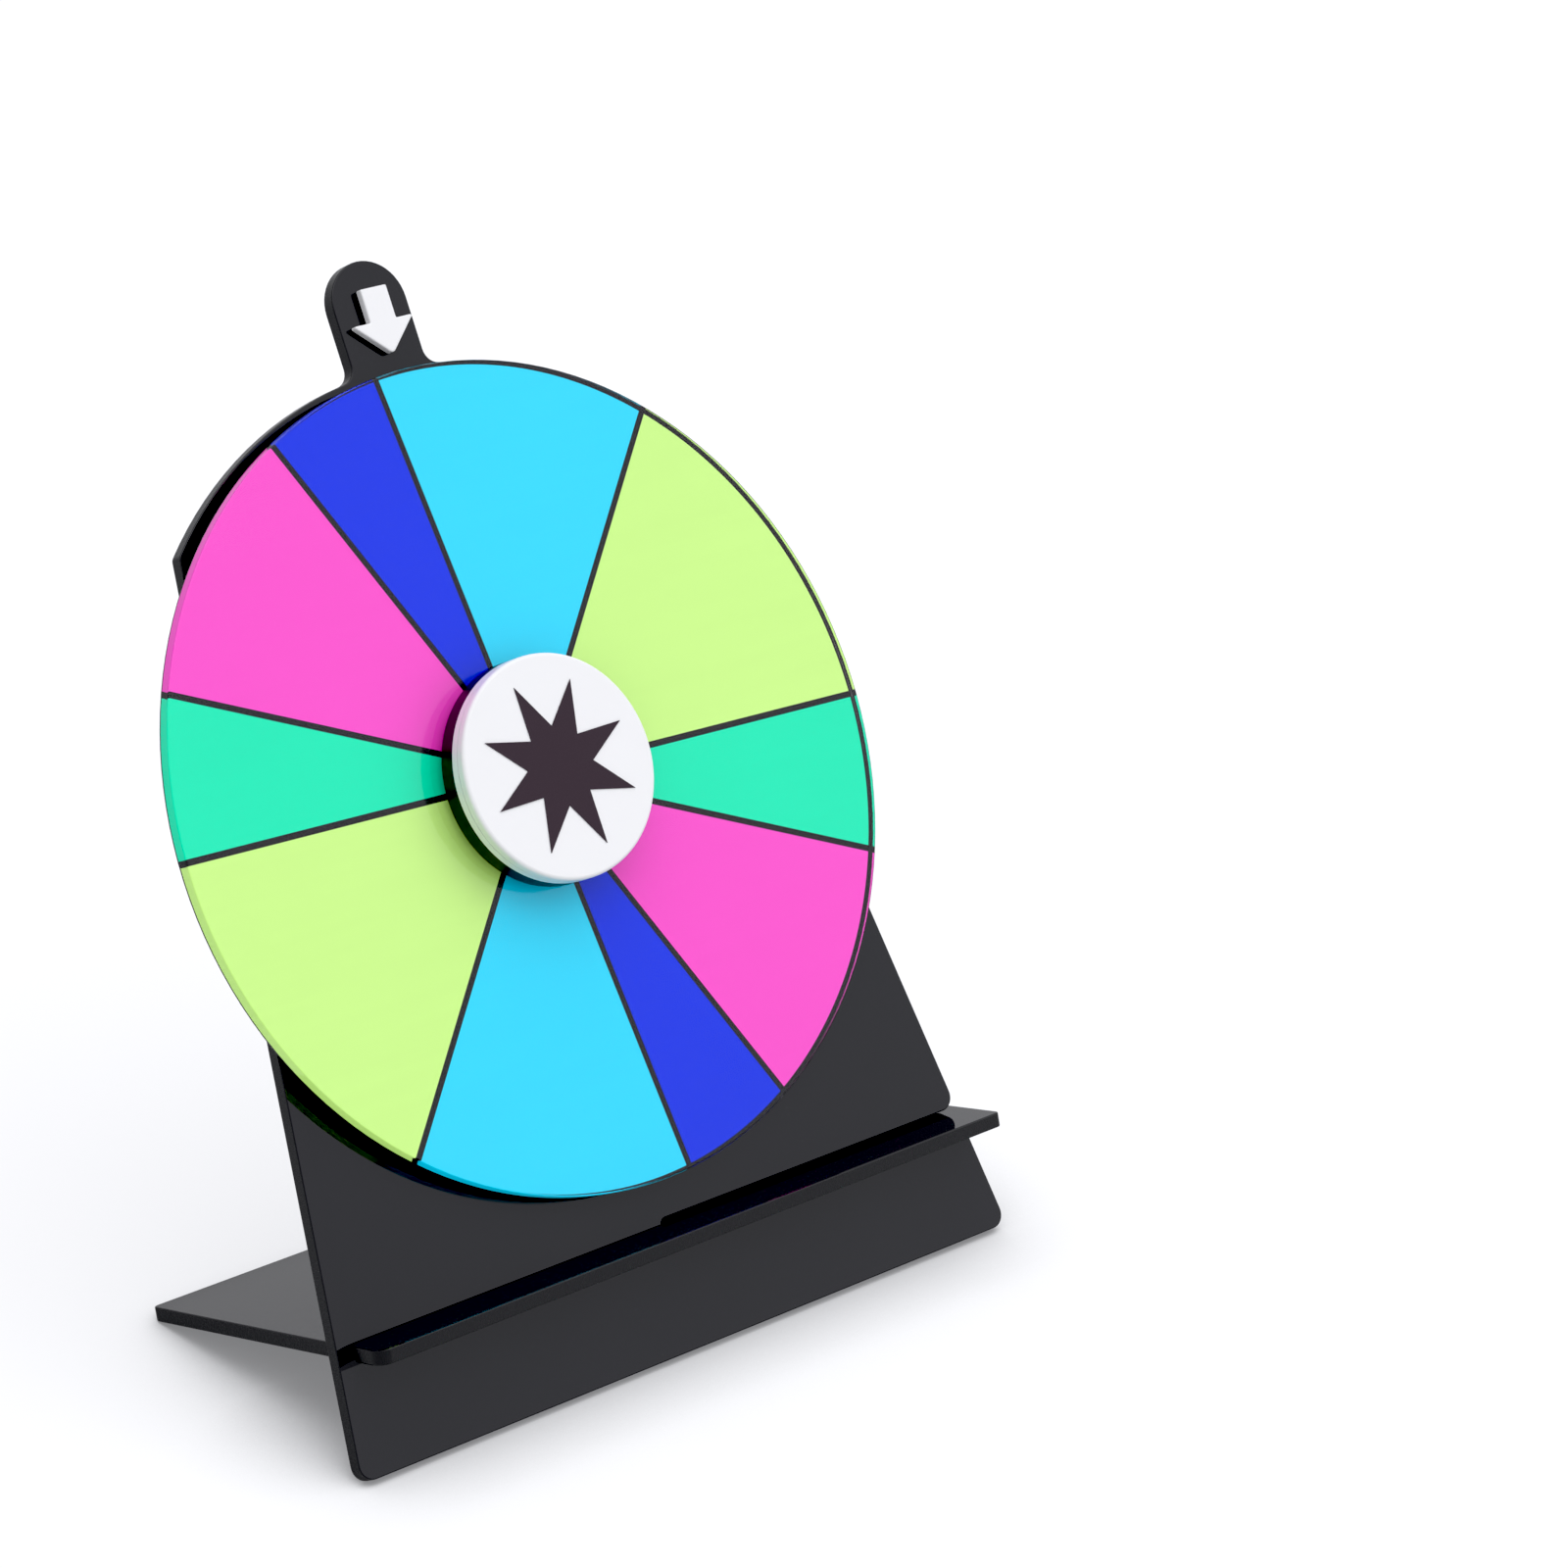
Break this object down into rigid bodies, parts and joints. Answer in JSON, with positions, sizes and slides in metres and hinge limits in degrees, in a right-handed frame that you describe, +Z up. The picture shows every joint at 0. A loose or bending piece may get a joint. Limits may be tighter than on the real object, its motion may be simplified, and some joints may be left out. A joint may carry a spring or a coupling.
{
  "type": "tabletop game spinner",
  "caption": "Tabletop game spinner: a round dial with coloured sectors turns on a bearing in a leaning slotted stand under a fixed arrow; its hub unscrews to swap dials.",
  "frame": {"origin": "centre of the bounding box on the table plane", "axes": "+X to the viewer's right, +Y to the back (the panel leans that way), +Z up"},
  "size_m": [0.1652, 0.1184, 0.1907],
  "materials": {
    "black_acrylic": "gloss black cast acrylic sheet, laser cut",
    "clear_acrylic": "clear cast acrylic, printed in colour on its back face",
    "printed_ink": "printed ink seen through clear acrylic",
    "white_plastic": "smooth white plastic with rounded edges",
    "black_vinyl": "satin black vinyl",
    "steel": "turned and ground steel",
    "brass": "pressed brass"
  },
  "bodies": {
    "stand": {"front_panel": "black_acrylic", "pointer_arrow": "white_plastic", "bearing_outer_ring": "steel", "bearing_shield_rear": "steel", "bearing_shield_front": "steel"},
    "foot": {"foot_plate": "black_acrylic"},
    "axle": {"axle_bolt": "steel", "rear_shim": "steel", "bearing_inner_ring": "steel", "axle_spacer": "steel", "dial_backing_washer": "black_acrylic"},
    "bearing_cage": {"bearing_cage": "brass", "bearing_ball_1": "steel", "bearing_ball_2": "steel", "bearing_ball_3": "steel", "bearing_ball_4": "steel", "bearing_ball_5": "steel", "bearing_ball_6": "steel", "bearing_ball_7": "steel"},
    "dial": {"dial": "clear_acrylic"},
    "hub": {"hub_base": "black_acrylic", "hub_ring": "white_plastic", "hub_nut": "steel", "hub_cover": "white_plastic", "hub_star": "black_vinyl"}
  },
  "joints": [
    {"name": "dial_spin", "type": "hinge", "parent": "stand", "child": "axle", "pos_m": [0, 0.00149, 0.10064], "axis": [0, -0.8526, 0.5225], "continuous": true},
    {"name": "bearing_cage_spin", "type": "hinge", "parent": "stand", "child": "bearing_cage", "pos_m": [0, 0.00149, 0.10064], "axis": [0, -0.8526, 0.5225], "continuous": true},
    {"name": "dial_lift", "type": "slide", "parent": "axle", "child": "dial", "axis": [0, -0.8526, 0.5225], "range_m": [0, 0.012]},
    {"name": "hub_lift", "type": "slide", "parent": "dial", "child": "hub", "axis": [0, -0.8526, 0.5225], "range_m": [0, 0.012]},
    {"name": "foot_slide", "type": "slide", "parent": "stand", "child": "foot", "axis": [1, 0, 0], "range_m": [-0.0008, 0.08]}
  ],
  "couplings": [
    {"joint": "bearing_cage_spin", "follows": "dial_spin", "ratio": 0.38461}
  ]
}
